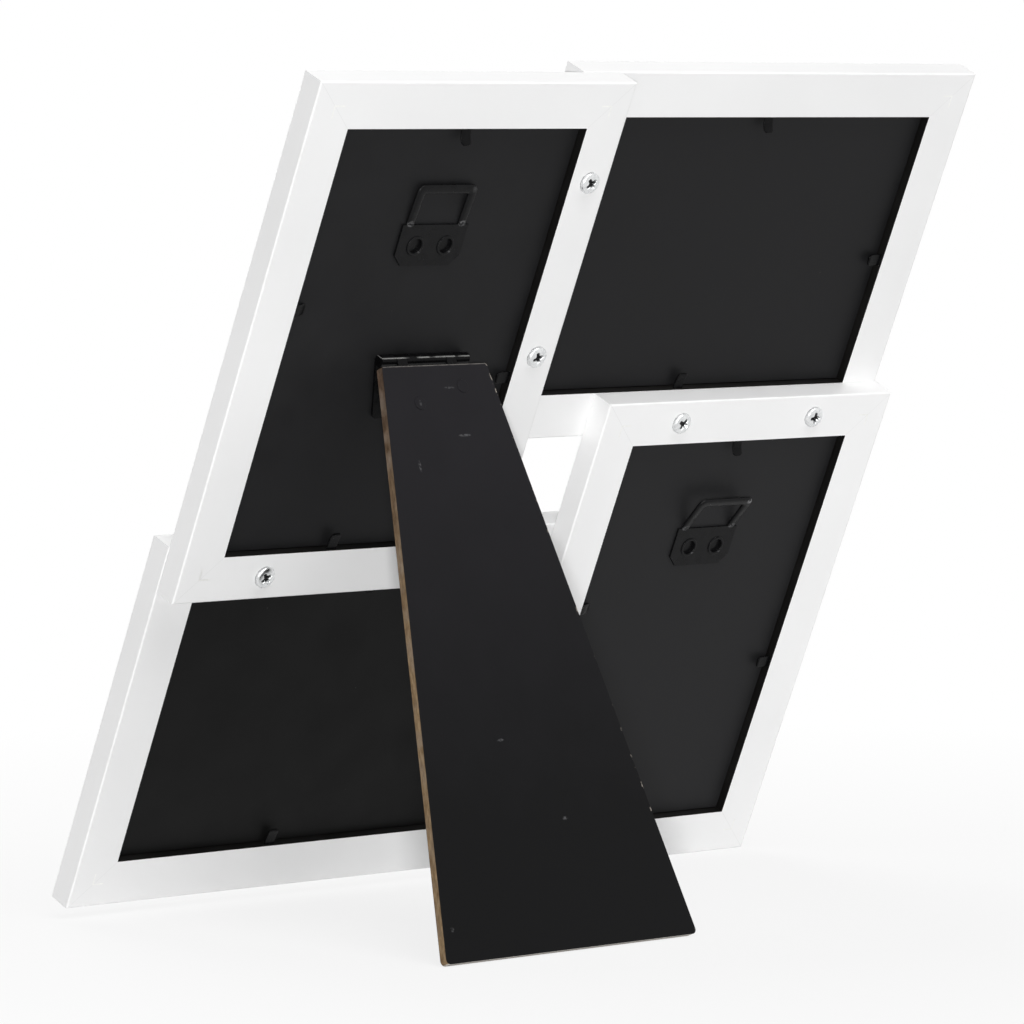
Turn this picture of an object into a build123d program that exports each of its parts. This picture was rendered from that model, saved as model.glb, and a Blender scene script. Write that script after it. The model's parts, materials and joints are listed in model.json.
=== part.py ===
"""Collage photo frame for a table or a wall, seen here as it stands on its strut.

Four small picture frames lap each other in a pinwheel. The two portrait frames lie in the rear layer and
the two landscape frames in the front layer, and two screws hold each lap. Every frame is mitred from four
rebated rails, nailed at the corners, and holds glass, a photo sheet and a black back panel behind steel
tabs. A strut on a butt hinge folds out of the upper portrait frame, and both portrait frames carry a
pressed wall hanger.

Everything is laid out on the rear plane: x to the right as seen from behind, y up, z out of the back,
from the collage's upper left corner. Left and right in the names are as seen from behind.
"""

import os
from math import atan, cos, degrees, radians, sin

from build123d import *

# Photo format and what lies in the pocket behind the lip
sheet_w = 102.0
sheet_h = 152.0
pocket_slack = 0.5
glass_t = 1.2
sheet_t = 0.3
panel_t = 2.0

# Moulding: a flat bar with a rebate, wrapped in foil
rail_w = 16.5
rail_d = 9.0
lip_w = 5.0
lip_t = 2.5
edge_r = 0.6

# Corner nails, pressed in from the rear across each mitre
nail_leg = 4.5
nail_t = 0.5
nail_depth = 5.0

# Lap screws, two in each lap
screw_pitch = 64.0
screw_r = 1.5
screw_len = 14.0
screw_tip = 3.0
screw_head_r = 3.8
screw_head_h = 1.6
screw_head_round = 1.1
recess_l = 4.8
recess_w = 1.2
recess_depth = 1.1
screw_play = 0.05

# Soft steel tabs that hold the back panel, and where along each side they sit from its middle
tab_w = 4.2
tab_t = 0.5
tab_reach = 5.0
tab_embed = 6.0
tab_lift = 1.7
tab_tip = 1.2
tab_middle = 0.0
portrait_left_tab = 12.0
portrait_right_tab = -15.0
portrait_bottom_tab = -5.0
landscape_right_tab = -4.0
upper_landscape_bottom_tab = -3.0
lower_landscape_bottom_tab = -10.0

# Solid rivets of the hinge, and hollow rivets of the hangers
rivet_r = 1.3
rivet_head_r = 2.3
rivet_head_h = 1.0
rivet_round = 0.8
rivet_play = 0.05
strut_rivet_head_h = 0.2
strut_rivet_round = 0.15
eyelet_r = 3.0
eyelet_flange_r = 3.5
eyelet_flange_h = 0.4
eyelet_round = 0.3
eyelet_bore_r = 2.6
eyelet_bore_depth = 1.3

# Wall hangers: a pressed plate with its loop bent out of the plate
hanger_drop = 42.6
hanger_t = 0.8
hanger_w = 28.0
hanger_up = 7.5
hanger_down = 7.2
hanger_chamfer = 3.7
hanger_rivet_pitch = 13.0
loop_w = 25.2
loop_l = 14.6
loop_bar = 3.0
loop_corner_r = 2.5
loop_hole_r = 1.0
upper_loop_bend = 4.0
lower_loop_bend = 21.0

# Strut hinge
hinge_drop = 83.4
hinge_offset = 10.1
hinge_lift = 0.3
hinge_w = 38.0
end_knuckle_w = 6.0
strut_knuckle_w = 4.6
knuckle_r = 2.0
knuckle_gap = 0.2
pin_r = 1.0
pin_play = 0.05
leaf_t = 0.8
leaf_l = 22.0
leaf_tip_w = 26.0
leaf_corner_r = 2.0
panel_rivet_x = 9.0
panel_rivet_drop = 14.0

# Strut board, how far it opens from the back, and how far back the frame leans on it
strut_t = 3.0
strut_top_gap = 3.5
strut_top_w = 45.4
strut_foot_w = 109.3
strut_top_r = 1.0
strut_foot_r = 1.6
strut_rivet_x = 10.0
strut_rivet_left_drop = 16.4
strut_rivet_right_drop = 11.1
strut_open = 44.3
lean = 23.9

# Sizes that follow
pocket_w = sheet_w + 2 * pocket_slack
pocket_h = sheet_h + 2 * pocket_slack
short = pocket_w + 2 * rail_w
long = pocket_h + 2 * rail_w
span = short + long - rail_w
bar_w = rail_w + lip_w
glass_front = lip_t - rail_d
sheet_front = glass_front + glass_t
panel_front = sheet_front + sheet_t
panel_rear = panel_front + panel_t
front_layer = -rail_d

# Sides of a frame in order round it, a quarter turn apart, with the sign of right or up along each
SIDES = {"bottom_rail": 1, "right_stile": 1, "top_rail": -1, "left_stile": -1}
TURNS = {side: 360 * quarter / len(SIDES) for quarter, side in enumerate(SIDES)}

# Each frame: middle, layer, outer width and height, and where along each side its tabs sit
PORTRAIT_TABS = {
    "top_rail": tab_middle,
    "left_stile": portrait_left_tab,
    "right_stile": portrait_right_tab,
    "bottom_rail": portrait_bottom_tab,
}
UPPER_LANDSCAPE_TABS = {
    "top_rail": tab_middle,
    "right_stile": landscape_right_tab,
    "bottom_rail": upper_landscape_bottom_tab,
}
LOWER_LANDSCAPE_TABS = {**UPPER_LANDSCAPE_TABS, "bottom_rail": lower_landscape_bottom_tab}
FRAMES = {
    "upper_portrait": (short / 2, -long / 2, 0, short, long, PORTRAIT_TABS),
    "lower_portrait": (span - short / 2, long / 2 - span, 0, short, long, PORTRAIT_TABS),
    "upper_landscape": (span - long / 2, -short / 2, front_layer, long, short, UPPER_LANDSCAPE_TABS),
    "lower_landscape": (long / 2, short / 2 - span, front_layer, long, short, LOWER_LANDSCAPE_TABS),
}


def side_length(side, w, h):
    """Outer length of a side, and its distance from the frame's middle."""
    return (w, h / 2) if side.endswith("rail") else (h, w / 2)


def rail(length):
    """Rebated bar with its outer edge on y = 0 and rear face on z = 0, mitred at both ends."""
    low = (Align.MIN, Align.MAX)
    section = Rectangle(bar_w, rail_d, align=low)
    section -= Pos(rail_w, 0) * Rectangle(lip_w, rail_d - lip_t, align=low)
    outer = section.vertices().group_by(Axis.X)[0]
    lip = section.vertices().group_by(Axis.X)[-1].sort_by(Axis.Y)[0]
    section = fillet([*outer, lip], edge_r)
    bar = extrude(Plane.YZ * section, length / 2, both=True)
    half = length / 2
    plan = Polygon((-half, 0), (half, 0), (half - bar_w, bar_w), (bar_w - half, bar_w), align=None)
    return bar & extrude(plan, -rail_d)


def corner_nail():
    """Angled nail with its bend on the mitre and one leg in each rail, flush with the rear face."""
    low = (Align.MIN, Align.MIN)
    plan = Rectangle(nail_leg, nail_t, align=low) + Rectangle(nail_t, nail_leg, align=low)
    return extrude(plan, -nail_depth)


def tab():
    """Steel strip out of the rebate wall at y = 0, bent down until its tip rests on the back panel."""
    turn = 2 * atan((tab_lift - tab_t / 2) / tab_reach)
    bend_r = tab_reach / sin(turn)
    exit_z = panel_rear + tab_lift
    middle = (0, exit_z - bend_r)
    over = CenterArc(middle, bend_r + tab_t / 2, 90, -degrees(turn))
    under = CenterArc(middle, bend_r - tab_t / 2, 90, -degrees(turn))
    root = Polyline(under @ 0, (-tab_embed, exit_z - tab_t / 2), (-tab_embed, exit_z + tab_t / 2), over @ 0)
    tip = Line(over @ 1, under @ 1)
    strip = extrude(Plane.YZ * make_face([over, tip, under, *root.edges()]), tab_w / 2, both=True)
    across = strip.faces().sort_by(Axis.Y)[-1].edges().filter_by(Axis.X, reverse=True)
    return chamfer(across, tab_tip)


def tab_slot():
    """Slot in the rebate wall for the buried end of a tab."""
    root = Box(tab_w, tab_embed, tab_t, align=(Align.CENTER, Align.MAX, Align.CENTER))
    return Pos(0, 0, panel_rear + tab_lift) * root


def bored(radius, depth, places):
    """Round holes from the given places down."""
    hole = Cylinder(radius, depth, align=(Align.CENTER, Align.CENTER, Align.MAX))
    return [place * hole for place in places]


def rivet(head_h, head_round, grip):
    """Domed head on z = 0 with a shank below it."""
    head = extrude(Circle(rivet_head_r), head_h)
    head = fillet(head.edges().group_by(Axis.Z)[-1], head_round)
    return head + extrude(Circle(rivet_r), -grip)


def eyelet(grip):
    """Hollow rivet with a rolled flange on z = 0 and a blind bore down its shank."""
    body = extrude(Circle(eyelet_flange_r), eyelet_flange_h) + extrude(Circle(eyelet_r), -grip)
    body -= Pos(0, 0, eyelet_flange_h) * extrude(Circle(eyelet_bore_r), -eyelet_bore_depth)
    return fillet(body.faces().sort_by(Axis.Z)[-1].edges(), eyelet_round)


def lap_screw():
    """Pan head screw with a cross recess, head seated on z = 0."""
    head = extrude(Circle(screw_head_r), screw_head_h)
    head = fillet(head.edges().group_by(Axis.Z)[-1], screw_head_round)
    cross = Rectangle(recess_l, recess_w) + Rectangle(recess_w, recess_l)
    head -= Pos(0, 0, screw_head_h) * extrude(cross, -recess_depth)
    shank = extrude(Circle(screw_r), screw_tip - screw_len)
    tip = Rot(180, 0, 0) * Cone(screw_r, screw_r / 4, screw_tip, align=(Align.CENTER, Align.CENTER, Align.MIN))
    return head + shank + Pos(0, 0, screw_tip - screw_len) * tip


def hanger(bend):
    """Pressed hanger on z = 0, rivet line on y = 0, with its loop bent out of the plate by a given angle."""
    half = hanger_w / 2
    foot = hanger_chamfer - hanger_down
    plate = Polygon(
        (-half, hanger_up),
        (-half, foot),
        (hanger_chamfer - half, -hanger_down),
        (half - hanger_chamfer, -hanger_down),
        (half, foot),
        (half, hanger_up),
        align=None,
    )
    plate = extrude(plate, hanger_t)
    ring = Pos(0, loop_l / 2) * RectangleRounded(loop_w, loop_l, loop_corner_r)
    ring += Pos(0, loop_l / 4) * Rectangle(loop_w, loop_l / 2)
    hole_l = loop_l - loop_bar
    hole = Pos(0, hole_l / 2) * RectangleRounded(loop_w - 2 * loop_bar, hole_l, loop_hole_r)
    hole += Pos(0, hole_l / 4) * Rectangle(loop_w - 2 * loop_bar, hole_l / 2)
    loop = extrude(ring - hole, hanger_t / 2, both=True)
    leg = Rot(0, 90, 0) * Cylinder(hanger_t / 2, loop_bar)
    leg_x = (loop_w - loop_bar) / 2
    loop += [Pos(leg_x, 0) * leg, Pos(-leg_x, 0) * leg]
    return plate + Pos(0, hanger_up, hanger_t / 2) * Rot(bend, 0, 0) * loop


def knuckles(spans, radius):
    """Barrels on the x axis between the given ends."""
    barrel = [Pos((a + b) / 2, 0) * Rot(0, 90, 0) * Cylinder(radius, b - a) for a, b in spans]
    return barrel[0] + barrel[1:]


def leaf(own, other, plate_z):
    """Hinge leaf hanging from the x axis: tapered plate, its own knuckles, notches round the other's."""
    plan = Polygon(
        (-hinge_w / 2, 0),
        (-leaf_tip_w / 2, -leaf_l),
        (leaf_tip_w / 2, -leaf_l),
        (hinge_w / 2, 0),
        align=None,
    )
    plan = fillet(plan.vertices().group_by(Axis.Y)[0], leaf_corner_r)
    notch_l = 2 * (knuckle_r + hinge_lift)
    for a, b in other:
        plan -= Pos((a + b) / 2, 0) * Rectangle(b - a + 2 * knuckle_gap, notch_l)
    plate = Pos(0, 0, plate_z) * extrude(plan, leaf_t)
    return plate + knuckles(own, knuckle_r) - knuckles([(-hinge_w, hinge_w)], pin_r + pin_play)


parts = {}

# Lap screws, by the middle of each lap and the way its two screws are spread
laps = [
    (short - rail_w / 2, -short / 2, (0, 1)),
    (short / 2, rail_w / 2 - long, (1, 0)),
    (span - short / 2, rail_w / 2 - short, (1, 0)),
    (long - rail_w / 2, short / 2 - span, (0, 1)),
]
screw_places = [
    Pos(x + dx * end * screw_pitch / 2, y + dy * end * screw_pitch / 2)
    for x, y, (dx, dy) in laps
    for end in (-1, 1)
]
parts["lap_screws"] = Compound([place * lap_screw() for place in screw_places])
screw_holes = bored(screw_r + screw_play, screw_len, screw_places)

# Rails, nails and tabs of the four frames, and what lies in each pocket
for name, (x, y, z, w, h, tabs) in FRAMES.items():
    middle = Pos(x, y, z)
    corners = [(-1, -1), (1, -1), (1, 1), (-1, 1)]
    nails = [
        middle * Pos(sx * (w - rail_w) / 2, sy * (h - rail_w) / 2) * Rot(0, 0, turn) * corner_nail()
        for (sx, sy), turn in zip(corners, TURNS.values())
    ]
    tab_places = []
    for side, along in tabs.items():
        wall = rail_w - side_length(side, w, h)[1]
        tab_places.append(middle * Rot(0, 0, TURNS[side]) * Pos(SIDES[side] * along, wall))
    cuts = nails + [place * tab_slot() for place in tab_places] + screw_holes
    for side, turn in TURNS.items():
        length, out = side_length(side, w, h)
        bar = middle * Rot(0, 0, turn) * Pos(0, -out) * rail(length)
        parts[f"{name}_{side}"] = bar - cuts
    parts[f"{name}_corner_nails"] = Compound(nails)
    parts[f"{name}_tabs"] = Compound([place * tab() for place in tab_places])
    pocket = Rectangle(w - 2 * (rail_w + pocket_slack), h - 2 * (rail_w + pocket_slack))
    for layer, front, thick in (
        ("glass", glass_front, glass_t),
        ("photo_sheet", sheet_front, sheet_t),
        ("back_panel", panel_front, panel_t),
    ):
        parts[f"{name}_{layer}"] = middle * Pos(0, 0, front) * extrude(pocket, thick)

# Wall hangers on the two portrait back panels
hanger_rivets = []
for name, bend in (("upper_portrait", upper_loop_bend), ("lower_portrait", lower_loop_bend)):
    x, y, z, w, h, tabs = FRAMES[name]
    seat = Pos(x, y + h / 2 - rail_w - hanger_drop, z + panel_rear)
    places = [seat * Pos(end * hanger_rivet_pitch / 2, 0, hanger_t) for end in (-1, 1)]
    holes = bored(eyelet_r + rivet_play, hanger_t + panel_t, places)
    parts[f"{name}_hanger"] = seat * hanger(bend) - holes
    parts[f"{name}_back_panel"] -= holes
    hanger_rivets += [place * eyelet(hanger_t + panel_t) for place in places]
parts["hanger_rivets"] = Compound(hanger_rivets)

# Strut hinge on the upper portrait back panel
inner = hinge_w / 2 - end_knuckle_w
strut_spans = [
    (-inner + knuckle_gap, -inner + strut_knuckle_w - knuckle_gap),
    (inner - strut_knuckle_w + knuckle_gap, inner - knuckle_gap),
]
panel_spans = [
    (-hinge_w / 2, -inner),
    (strut_knuckle_w - inner, inner - strut_knuckle_w),
    (inner, hinge_w / 2),
]
axis_x = short / 2 + hinge_offset
axis_y = -rail_w - hinge_drop
axis_z = panel_rear + hinge_lift + knuckle_r
axis = Pos(axis_x, axis_y, axis_z)
leaf_face = panel_rear + leaf_t - axis_z
rivet_places = [axis * Pos(end * panel_rivet_x, -panel_rivet_drop, leaf_face) for end in (-1, 1)]
holes = bored(rivet_r + rivet_play, leaf_t + panel_t, rivet_places)
parts["strut_hinge_panel_leaf"] = axis * leaf(panel_spans, strut_spans, panel_rear - axis_z) - holes
parts["upper_portrait_back_panel"] -= holes
parts["panel_leaf_rivets"] = Compound(
    [place * rivet(rivet_head_h, rivet_round, leaf_t + panel_t) for place in rivet_places]
)
parts["strut_hinge_pin"] = axis * knuckles([(-hinge_w / 2, hinge_w / 2)], pin_r)

# Strut, as long as it takes to stand on the same floor as the lower frames' rear edge
splay = radians(strut_open - lean)
floor_drop = (span + axis_y) * cos(radians(lean)) - axis_z * sin(radians(lean))
strut_l = (floor_drop + knuckle_r * sin(splay)) / cos(splay)
opened = axis * Rot(-strut_open, 0, 0)
board = Polygon(
    (-strut_top_w / 2, -strut_top_gap),
    (-strut_foot_w / 2, -strut_l),
    (strut_foot_w / 2, -strut_l),
    (strut_top_w / 2, -strut_top_gap),
    align=None,
)
ends = board.vertices().group_by(Axis.Y)
board = fillet(ends[0], strut_foot_r)
board = fillet(board.vertices().group_by(Axis.Y)[-1], strut_top_r)
strut_face = knuckle_r + strut_t
rivet_places = [
    Pos(-strut_rivet_x, -strut_rivet_left_drop, strut_face),
    Pos(strut_rivet_x, -strut_rivet_right_drop, strut_face),
]
grip = strut_t + leaf_t
holes = bored(rivet_r + rivet_play, grip, rivet_places)
parts["strut_board"] = opened * (Pos(0, 0, knuckle_r) * extrude(board, strut_t) - holes)
parts["strut_hinge_strut_leaf"] = opened * (leaf(strut_spans, panel_spans, knuckle_r - leaf_t) - holes)
parts["strut_rivets"] = Compound(
    [opened * place * rivet(strut_rivet_head_h, strut_rivet_round, grip) for place in rivet_places]
)

# Stand the collage up: lean it back, then centre it on the floor under it
tilt = radians(lean)
upright = Location(Plane((0, 0, 0), x_dir=(-1, 0, 0), z_dir=(0, cos(tilt), -sin(tilt))))
box = Compound([upright * shape for shape in parts.values()]).bounding_box()
stand = Pos(-box.center().X, -box.center().Y, -box.min.Z) * upright

os.makedirs("parts", exist_ok=True)
for name, shape in parts.items():
    export_step(stand * shape, f"parts/{name}.step")

hinge_line = (stand * axis).position
print("overall size", box.size, "pieces", len(parts))
print("strut", round(strut_l, 1), "mm long, opens", strut_open, "degrees about x through", tuple(hinge_line))
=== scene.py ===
# %% [markdown]
# # A collage photo frame, seen from behind
#
# Four small picture frames lap each other like a pinwheel and lean back on one strut. The solids come
# ready made from the CAD model, in metres and already in place. This lesson gives every solid the
# finish of its real material, makes the smallest bent and pressed pieces again as finer surfaces, and
# sets up a studio. We start by loading the solids.

# %% Load the solids
import json

import bpy
import numpy as np
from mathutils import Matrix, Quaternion, Vector


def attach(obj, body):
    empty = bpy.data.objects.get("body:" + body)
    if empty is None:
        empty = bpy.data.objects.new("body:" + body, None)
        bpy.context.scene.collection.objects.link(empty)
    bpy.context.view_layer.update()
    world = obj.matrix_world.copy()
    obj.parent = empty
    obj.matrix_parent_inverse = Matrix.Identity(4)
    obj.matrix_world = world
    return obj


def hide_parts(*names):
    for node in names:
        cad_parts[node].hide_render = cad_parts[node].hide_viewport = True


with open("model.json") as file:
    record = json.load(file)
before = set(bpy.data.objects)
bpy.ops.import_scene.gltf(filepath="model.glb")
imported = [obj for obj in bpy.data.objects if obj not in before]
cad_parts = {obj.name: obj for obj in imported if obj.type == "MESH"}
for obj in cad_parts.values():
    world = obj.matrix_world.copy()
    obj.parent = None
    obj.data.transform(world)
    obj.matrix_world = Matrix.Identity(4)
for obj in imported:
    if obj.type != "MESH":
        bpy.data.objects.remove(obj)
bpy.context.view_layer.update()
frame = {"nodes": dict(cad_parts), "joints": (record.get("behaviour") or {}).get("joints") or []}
nodes = frame["nodes"]

# %% [markdown]
# ## Where things are on the back
#
# A maker measures this object on its back: millimetres to the right and up from the upper left corner,
# and out of the back. The collage stands tilted, so every such place would need its own sines and
# cosines. They are worked out once instead, as the three directions of the back, and one small
# function turns places on the back into metres in the standing frame. The hinge of the strut is known
# both ways, and ties the two together.

# %% From the back's own measure to the standing frame
MM = 0.001
LEAN = np.radians(23.9)
HINGE_ON_BACK = np.array([78.1, -99.9, -0.7])
BACK_AXES = np.array([
    [-1.0, 0.0, 0.0],
    [0.0, np.sin(LEAN), np.cos(LEAN)],
    [0.0, np.cos(LEAN), -np.sin(LEAN)],
])
hinge_line = np.array(frame["joints"][0]["pos_m"])
BACK_ORIGIN = hinge_line - MM * BACK_AXES.T @ HINGE_ON_BACK


def standing(points):
    """Rows of (right, up, out) in mm on the back, as metres in the standing frame: origin + p . axes."""
    return BACK_ORIGIN + MM * np.asarray(points, float) @ BACK_AXES


print("upper left corner of the back", standing([0, 0, 0]).round(4))

# %% [markdown]
# ## The four frames
#
# Two frames stand and two lie, all made of one kind of rail, and the lying ones are one rail's depth
# nearer the front. Every finish and piece below asks where a frame is. That could be read from the
# solids' boxes, but the solids are tilted, so their boxes say little. The outlines are written down
# once, as a drawing of the back would give them.

# %% Outlines on the back
RAIL_W = 16.5
RAIL_D = 9.0
SHORT = 136.0
LONG = 186.0
SPAN = SHORT + LONG - RAIL_W
# Each frame: its middle (right, up), its rear face (out), its width and its height
FRAMES = {
    "upper_portrait": (SHORT / 2, -LONG / 2, 0.0, SHORT, LONG),
    "lower_portrait": (SPAN - SHORT / 2, LONG / 2 - SPAN, 0.0, SHORT, LONG),
    "upper_landscape": (SPAN - LONG / 2, -SHORT / 2, -RAIL_D, LONG, SHORT),
    "lower_landscape": (LONG / 2, SHORT / 2 - SPAN, -RAIL_D, LONG, SHORT),
}
print("frames", len(FRAMES), "on a square of", SPAN, "mm")

# %% [markdown]
# ## Colour and nodes
#
# Colours are written as the hex values that a picture editor shows. Blender's shaders work in linear
# light, so one function converts them. A material can be wired by hand in the shader editor, but a
# script can be read and does the same each time. One function adds a node of any kind: its settings
# come first, because they decide which inputs are in use, and the values then go to those inputs in
# order. Every finish here, even the glass, is one principled shader with its own colour and gloss.

# %% Colours
def linear(hex_colour):
    """sRGB hex to linear RGBA: c/12.92 below 0.04045, else ((c + 0.055)/1.055)^2.4."""
    c = np.array([int(hex_colour[i:i + 2], 16) for i in (1, 3, 5)]) / 255
    rgb = np.where(c <= 0.04045, c / 12.92, ((c + 0.055) / 1.055) ** 2.4)
    return (*rgb.tolist(), 1.0)


print("mid grey in linear light", [round(v, 3) for v in linear("#808080")])

# %% Nodes and materials
def add(tree, kind, *values, out=None, **settings):
    """Adds one shader node and gives its output; a socket among the values is linked, others are set."""
    node = tree.nodes.new(f"ShaderNode{kind}")
    for key, value in settings.items():
        setattr(node, key, value)
    in_use = [socket for socket in node.inputs if socket.enabled]
    for socket, value in zip(in_use, values):
        if isinstance(value, bpy.types.NodeSocket):
            tree.links.new(value, socket)
        else:
            socket.default_value = value
    return node.outputs[out] if out else next(socket for socket in node.outputs if socket.enabled)


def new_material(name):
    """A new material, its tree, its principled shader and Object coordinates in metres."""
    material = bpy.data.materials.new(name)
    material.use_nodes = True
    tree = material.node_tree
    return material, tree, tree.nodes["Principled BSDF"], add(tree, "TexCoord", out="Object")


def paint(material, *names):
    """Gives solids a material, by their nodes' names."""
    for name in names:
        nodes[name].data.materials.clear()
        nodes[name].data.materials.append(material)
    print(material.name, "solids painted:", len(names))


def per_mm(size_mm):
    """Texture scale whose features are about the given size: 1 over the size in metres."""
    return 1.0 / (size_mm * MM)


print("texture scale of a 2 mm pattern", per_mm(2))

# %% [markdown]
# ## Measuring in a material
#
# Stains, joints and wear follow the edges of a piece, so a finish has to know how far a point is from
# them. A map could be painted for each piece, but a piece's Object coordinates are already its place
# in metres. A dot product with a direction gives the distance along it, and the finish can then be
# worked out like any measure on a drawing. Noise breaks up what would be too even. A noise node takes
# a place, a scale and how many finer layers it adds. Its values lie mostly between 0.3 and 0.7, and
# are stretched from there.

# %% Distances and relief
NOISE = (0.3, 0.7)
BUMP_FILTER = 0.1


def along(tree, place, origin, axis):
    """Millimetres from an origin along a unit axis: (p - origin) . axis, times 1000."""
    offset = add(tree, "VectorMath", place, list(origin), operation="SUBTRACT")
    reach = add(tree, "VectorMath", offset, list(axis), operation="DOT_PRODUCT")
    return add(tree, "Math", reach, 1.0 / MM, operation="MULTIPLY")


def relief(tree, shader, colour, rough, height, strength, depth_mm):
    """Links a colour and a roughness to the shader, and a height as a bump of the given depth."""
    bump = add(tree, "Bump", strength, depth_mm * MM, BUMP_FILTER, height)
    for name, socket in (("Base Color", colour), ("Roughness", rough), ("Normal", bump)):
        tree.links.new(socket, shader.inputs[name])


print("noise is stretched from", NOISE, "to a share of 0 to 1")

# %% [markdown]
# ## White foil on fibreboard
#
# The rails are fibreboard bars wrapped in white foil. The foil stops at the rebate, whose walls are
# stained black, a hairline shows where two rails meet in a mitre, and the outer arris is rubbed here
# and there. A painted map would have to be unwrapped for sixteen bars. Here everything follows from a
# point's distance to the frame's middle: inside the pocket it is black, where the distances to both
# outer edges agree lies a mitre, and where both the depth and the distance to the outer edge vanish
# lies the arris.

# %% Distances on a frame's rails
REBATE = 6.5
BLEED = 0.1


def on_rails(tree, place, name):
    """Half the size less the way from the middle, sideways and upwards; the depth; 1 in the rebate."""
    x, y, layer, width, height = FRAMES[name]
    reach = [along(tree, place, standing([x, y, layer]), axis) for axis in BACK_AXES]
    side, rise, deep = (add(tree, "Math", value, operation="ABSOLUTE") for value in reach)
    within = add(tree, "Math", reach[2], -REBATE - BLEED, operation="GREATER_THAN")
    for value, size in ((side, width), (rise, height)):
        inside = add(tree, "Math", value, size / 2 - RAIL_W + BLEED / 2, operation="LESS_THAN")
        within = add(tree, "Math", within, inside, operation="MULTIPLY")
    to_side = add(tree, "Math", width / 2, side, operation="SUBTRACT")
    to_top = add(tree, "Math", height / 2, rise, operation="SUBTRACT")
    return to_side, to_top, deep, within


print("walls are stained to", REBATE + BLEED, "mm below a frame's rear face")

# %% Colours and sizes of the foil
# Each frame's white also holds painted light and shade: lightest for the lower portrait, darkest
# for the lower landscape frame near the table
WHITES_WITH_SHADE = {
    "upper_portrait": ("#ECECEC", "#F1F1F1"),
    "lower_portrait": ("#F3F3F3", "#F8F8F8"),
    "upper_landscape": ("#EEEEEE", "#F3F3F3"),
    "lower_landscape": ("#EBEBEB", "#F0F0F0"),
}
RUBBED, MITRE, STAIN = "#C4C2BC", "#9C9C9A", "#0E0D0C"
# Sizes of the patterns in mm: clouds in the white, rubbed patches, changes of gloss and orange peel
CLOUD, PATCH, SHEEN, PEEL = 70, 9, 12, 1.4
PATCHY = (0.5, 0.7)
FOIL_ROUGH = (0.38, 0.5)
HAIRLINE = 0.12
HAIRLINE_SHARE = 0.22
# Rubbing fades between these distances from the arris
ARRIS = (0.3, 1.3)
ARRIS_SHARE = 0.15
print("hairline", HAIRLINE, "mm wide on each side, arris rubbed over", ARRIS[1], "mm")

# %% White foil, one for each frame
SIDES = ("top_rail", "bottom_rail", "left_stile", "right_stile")


def white_foil(name, low, high):
    """Foil of one frame: a cloudy white, then the rubbed arris, the mitres and the stain over it."""
    # Wrapped foil gives the eye a clean satin white with a broad sheen. The board's texture shows
    # through it as an orange peel of about half a millimetre, drawn at 1.4 mm so that it shows.
    material, tree, shader, place = new_material(f"white_foil_{name}")
    to_side, to_top, deep, within = on_rails(tree, place, name)
    off_mitre = add(tree, "Math", to_side, to_top, operation="SUBTRACT")
    off_mitre = add(tree, "Math", off_mitre, operation="ABSOLUTE")
    mitre = add(tree, "MapRange", off_mitre, 0.3 * HAIRLINE, HAIRLINE, HAIRLINE_SHARE, 0.0)
    to_edge = add(tree, "Math", to_side, to_top, operation="MINIMUM")
    to_arris = add(tree, "Math", to_edge, deep, operation="ADD")
    patchy = add(tree, "MapRange", add(tree, "TexNoise", place, per_mm(PATCH), 4.0), *PATCHY)
    rubbed = add(tree, "MapRange", to_arris, *ARRIS, ARRIS_SHARE, 0.0)
    rubbed = add(tree, "Math", rubbed, patchy, operation="MULTIPLY")
    cloud = add(tree, "MapRange", add(tree, "TexNoise", place, per_mm(CLOUD)), *NOISE)
    tone = add(tree, "Mix", cloud, linear(low), linear(high), data_type="RGBA")
    for share, colour in ((rubbed, RUBBED), (mitre, MITRE), (within, STAIN)):
        tone = add(tree, "Mix", share, tone, linear(colour), data_type="RGBA")
    rough = add(tree, "TexNoise", place, per_mm(SHEEN), 3.0)
    rough = add(tree, "MapRange", rough, *NOISE, *FOIL_ROUGH)
    peel = add(tree, "TexNoise", place, per_mm(PEEL))
    relief(tree, shader, tone, rough, peel, strength=0.1, depth_mm=0.05)
    shader.inputs["IOR"].default_value = 1.46
    return material


# Each frame's foil gets its own white, with painted light and shade
for name, whites in WHITES_WITH_SHADE.items():
    paint(white_foil(name, *whites), *(f"{name}_{side}" for side in SIDES))

# %% [markdown]
# ## Black back panels
#
# The back panels are thin hardboard faced with black paper: dull, faintly mottled, with short fibres
# and a few specks of dust. One flat black would do from afar, but it makes a panel look like a hole.
# So a slow noise shifts the black and the gloss, and a fine one raises the fibres. The specks are the
# middles of scattered cells. The four boards come from different sheets, so each has its own black,
# which also holds painted light and shade: darkest for the lower landscape frame near the table.

# %% Black-faced hardboard, one for each frame
# Each frame's black also holds painted light and shade: darkest for the lower landscape frame near the
# table, lightest for the lower portrait
BLACKS_WITH_SHADE = {
    "upper_portrait": ("#161617", "#1C1C1D"),
    "lower_portrait": ("#1C1C1D", "#212122"),
    "upper_landscape": ("#161617", "#1B1B1C"),
    "lower_landscape": ("#060606", "#0A0A0A"),
}
DUST = "#5C5C5C"
# Sizes in mm: the mottle, the way from speck to speck and the fibres
MOTTLE, SPECKS_APART, FIBRES = 16, 13, 0.9
MOTTLED = (0.35, 0.7)
BOARD_ROUGH = (0.45, 0.6)
# A speck fades between these shares of its cell's size
SPECK = (0.012, 0.022)
SPECK_SHARE = 0.3


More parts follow.
